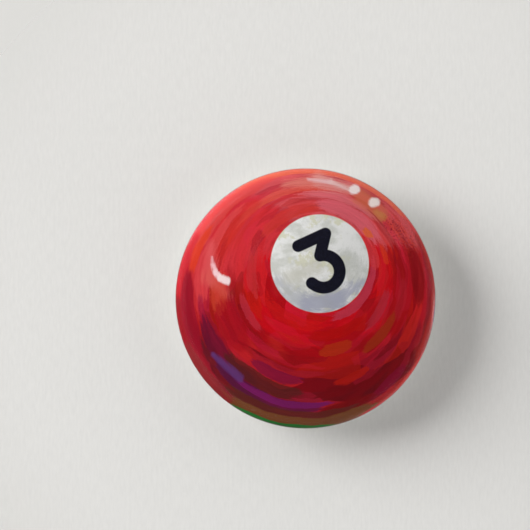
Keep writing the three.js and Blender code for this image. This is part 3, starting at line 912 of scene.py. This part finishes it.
WIRE = 0.39  # radius
WIRE_SIDES = 28
END_STEPS = 6  # rings in a wire's round end
PIN_TIP_X = 10.35
PIN_TIP_RADIUS = 0.012
PIN_TAPER = 4.2  # length over which the pin is ground to its point
TAPER_POWER = 2.5  # 1 grinds a cone, and more a blunter point
PIVOT_X = -12.0
PIVOT_DEPTH = 2.15
CATCH_INNER_X, CATCH_OUTER_X = 6.72, 10.27
CATCH_TOP_Z, CATCH_LOW_Z = 0.76, -3.2
CATCH_ARCH_DEPTH, CATCH_LOW_DEPTH = 0.9, 0.42
CATCH_TURN_X, CATCH_TURN_Z, CATCH_FLAT_X = 0.42, 0.55, 1.26  # the rounding of its closed end
RUN_RADIUS, RUN_DEPTH = 12.0, 2.66
RUN_START, RUN_SWEEP, RUN_POINTS = radians(27), radians(147), 15


def smooth_path(points, per_span):
    """A smooth line through points, as many more points."""
    tangents = []
    for i, point in enumerate(points):
        before, after = points[max(i - 1, 0)], points[min(i + 1, len(points) - 1)]
        tangents.append((after - before).normalized())
    path = []
    for i in range(len(points) - 1):
        reach = (points[i + 1] - points[i]).length / 3
        bend = interpolate_bezier(
            points[i], points[i] + tangents[i] * reach,
            points[i + 1] - tangents[i + 1] * reach, points[i + 1], per_span + 1,
        )
        path += bend[:-1]
    return path + [points[-1]]


def tube(name, path, radii, material, sides=WIRE_SIDES):
    """A round wire along a path. Its first end is round and its last is closed by a flat face."""
    along = [(b - a).normalized() for a, b in zip(path, path[1:])]
    along = [along[0]] + [(a + b).normalized() for a, b in zip(along, along[1:])] + [along[-1]]
    turns = [pi / 2 * (1 - i / END_STEPS) for i in range(END_STEPS)]
    start, r0 = path[0], radii[0]
    path = [start - along[0] * r0 * sin(a) for a in turns] + path
    radii = [max(r0 * cos(a), r0 * 0.02) for a in turns] + radii
    along = [along[0]] * END_STEPS + along
    side = along[0].orthogonal().normalized()
    vertices, faces = [], []
    for centre, radius, direction in zip(path, radii, along):
        side = (side - direction * side.dot(direction)).normalized()
        other = direction.cross(side)
        vertices += [
            centre + (side * cos(2 * pi * i / sides) + other * sin(2 * pi * i / sides)) * radius
            for i in range(sides)
        ]
    for ring in range(len(path) - 1):
        low, high = ring * sides, (ring + 1) * sides
        for i in range(sides):
            j = (i + 1) % sides
            faces.append((low + i, low + j, high + j, high + i))
    faces.append(tuple(reversed(range(sides))))
    faces.append(tuple(range(len(vertices) - sides, len(vertices))))
    wire = piece_from(name, vertices, faces, material)
    wire.data.set_sharp_from_angle(angle=radians(60))
    return wire


def catch_leg(x):
    """One leg of the catch: up out of the slot, over the pin and down to the closed end."""
    return [
        at(x, CATCH_TOP_Z + 0.55, 3.22),
        at(x, CATCH_TOP_Z + 0.1, 2.9),
        at(x, CATCH_TOP_Z, 2.2),
        at(x, CATCH_TOP_Z - 0.04, 1.5),
        at(x, CATCH_TOP_Z - 0.35, CATCH_ARCH_DEPTH + 0.12),
        at(x, PIN_Z + 0.2, CATCH_ARCH_DEPTH - 0.04),
        at(x, PIN_Z - 0.5, CATCH_ARCH_DEPTH - 0.08),
        at(x, CATCH_LOW_Z + 1.5, CATCH_LOW_DEPTH + 0.22),
    ]


def make_spring_wire(material):
    """The catch, the run under the ring over the top of the badge, and the root."""
    inner, outer = CATCH_INNER_X, CATCH_OUTER_X
    bottom = [
        at(inner + CATCH_TURN_X, CATCH_LOW_Z + CATCH_TURN_Z, CATCH_LOW_DEPTH + 0.07),
        at(inner + CATCH_FLAT_X, CATCH_LOW_Z, CATCH_LOW_DEPTH),
        at(outer - CATCH_FLAT_X, CATCH_LOW_Z, CATCH_LOW_DEPTH),
        at(outer - CATCH_TURN_X, CATCH_LOW_Z + CATCH_TURN_Z, CATCH_LOW_DEPTH + 0.07),
    ]
    turns = [RUN_START + RUN_SWEEP * i / (RUN_POINTS - 1) for i in range(RUN_POINTS)]
    run = [at(RUN_RADIUS * cos(a), RUN_RADIUS * sin(a), RUN_DEPTH) for a in turns]
    points = [
        at(inner, CATCH_TOP_Z + 0.9, 3.3),
        *catch_leg(inner),
        *bottom,
        *catch_leg(outer)[::-1],
        at(outer + 0.2, 2.6, 3.36),
        at(outer + 0.5, 4.0, 3.0),
        *run,
        at(PIVOT_X, PIN_Z + 0.9, 2.58),
        at(PIVOT_X, PIN_Z + 0.34, 2.4),
        at(PIVOT_X, PIN_Z, PIVOT_DEPTH),
    ]
    path = smooth_path(points, 10)
    wire = tube("catch_wire", path, [WIRE * MM] * len(path), material)
    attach(wire, "badge")
    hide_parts("spring_wire")
    return wire


def make_pin(material):
    """The pin, from the wire's bend to its ground point."""
    points = [
        at(PIVOT_X, PIN_Z, PIVOT_DEPTH),
        at(PIVOT_X + 0.5, PIN_Z, 1.94),
        at(PIVOT_X + 1.0, PIN_Z, 1.8),
        at(PIVOT_X + 1.7, PIN_Z, PIN_DEPTH),
        at(0, PIN_Z, PIN_DEPTH),
        at(PIN_TIP_X, PIN_Z, PIN_DEPTH),
    ]
    path = smooth_path(points, 24)
    taper_start = (PIN_TIP_X - PIN_TAPER) * MM
    radii = []
    for point in path:
        share = max(0.0, (point.x - taper_start) / (PIN_TAPER * MM))
        radii.append(max(WIRE * (1 - share**TAPER_POWER), PIN_TIP_RADIUS) * MM)
    pin = tube("pin", path, radii, material)
    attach(pin, "pin")
    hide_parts("pin_arm")
    return pin


# ---- Stage and light ----

CARD_BEHIND = 2.0 * MM
FLOOR_BELOW = 0.06
FLOOR_HALF = 3.0


def make_card():
    """The pale board that the badge lies against. It faces the front and is clear from behind."""
    corners = arc((0, 0), CARD_HALF * math.sqrt(2), pi / 4, pi / 4 + 2 * pi, 4)[:-1]
    vertices = [(x, CARD_BEHIND, z) for x, z in corners]
    card = piece_from("card", vertices, [(0, 1, 2, 3)], card_material())
    card.visible_shadow = False
    card.visible_glossy = False
    card.visible_diffuse = False
    card.visible_transmission = False


def make_floor():
    corners = ((-1, -1), (1, -1), (1, 1), (-1, 1))
    vertices = [(x * FLOOR_HALF, y * FLOOR_HALF, -FLOOR_BELOW) for x, y in corners]
    floor = piece_from("floor", vertices, [(0, 1, 2, 3)], floor_material())
    floor.visible_diffuse = False
    floor.visible_glossy = False


def soft_light(name, position, size, power, colour=(1, 1, 1)):
    """A round area light, in metres and watts, that faces the middle of the badge's back."""
    data = bpy.data.lights.new(name, "AREA")
    data.shape = "DISK"
    data.size = size
    data.energy = power
    data.color = colour
    light = bpy.data.objects.new(name, data)
    light.location = position
    light.rotation_euler = (-Vector(position)).to_track_quat("-Z", "Y").to_euler()
    bpy.context.scene.collection.objects.link(light)
    return light


def make_world():
    """A pale room, dimmer straight in front of the face and in two patches behind the badge.

    That room lights the badge and shows in its metal. Straight to the camera, its colour is plain."""
    world = bpy.data.worlds.new("room")
    world.use_nodes = True
    net = Net(world.node_tree)
    towards = net.add("ShaderNodeTexCoord").outputs["Generated"]
    # towards where, the cosine at which the dimming starts and is full, and its strength
    dim = [
        ((0.0, -1.0, 0.0), 0.60, 0.80, 0.97),
        ((-0.50, 0.60, -0.60), 0.50, 0.86, 0.88),
        ((0.65, 0.70, 0.30), 0.86, 0.98, 0.8),
    ]
    behind = net.ramp(net.vector("DOT_PRODUCT", towards, (0.0, 1.0, 0.0)), -0.1, 0.35)
    colour = net.mix(behind, paint(214, 214, 214), paint(232, 231, 228))
    for direction, start, end, strength in dim:
        facing = net.vector("DOT_PRODUCT", towards, Vector(direction).normalized())
        share = net.math("MULTIPLY", net.ramp(facing, start, end), strength)
        colour = net.mix(share, colour, paint(52, 50, 48))
    seen = net.add("ShaderNodeLightPath").outputs["Is Camera Ray"]
    colour = net.mix(seen, colour, paint(187, 186, 183))
    background = world.node_tree.nodes["Background"]
    net.put(background.inputs["Color"], colour)
    background.inputs["Strength"].default_value = 1.5
    bpy.context.scene.world = world


def make_lights():
    key = soft_light("key", (-1.40, -0.54, 0.57), 1.25, 40.0)
    key.visible_glossy = False
    gloss = soft_light("gloss", (-0.55, -0.50, 0.60), 0.34, 0.8)
    gloss.visible_diffuse = False
    soft_light("back_key", (-0.24, 0.26, 0.22), 0.26, 0.3, (1.0, 0.98, 0.94))
    soft_light("back_side", (0.30, 0.20, -0.04), 0.10, 0.2)


# ---- The whole badge ----


def make_badge():
    paper_inside = FILM + GAP
    shell_inside = paper_inside + PAPER + GAP
    skin_layer("film", 0.0, FILM, film_material(), "clear_film")
    skin_layer("paper", paper_inside, PAPER, print_material(), "printed_paper")
    tin = grained_metal(
        "tinplate", (176, 177, 180), (124, 125, 128), roughness=0.42, across=12000.0, depth=0.012 * MM,
    )
    skin_layer("shell", shell_inside, SHELL, tin, "front_shell")
    bright = grained_metal(
        "bright_tin", (222, 220, 214), (160, 157, 150), roughness=0.24, across=9000.0, depth=0.005 * MM,
        smooth_from=13.25 * MM,
    )
    make_collet(bright)
    steel = wire_material()
    make_spring_wire(steel)
    make_pin(steel)


make_camera()
make_world()
make_lights()
make_card()
make_floor()
make_badge()
bpy.context.scene.view_settings.view_transform = "Standard"
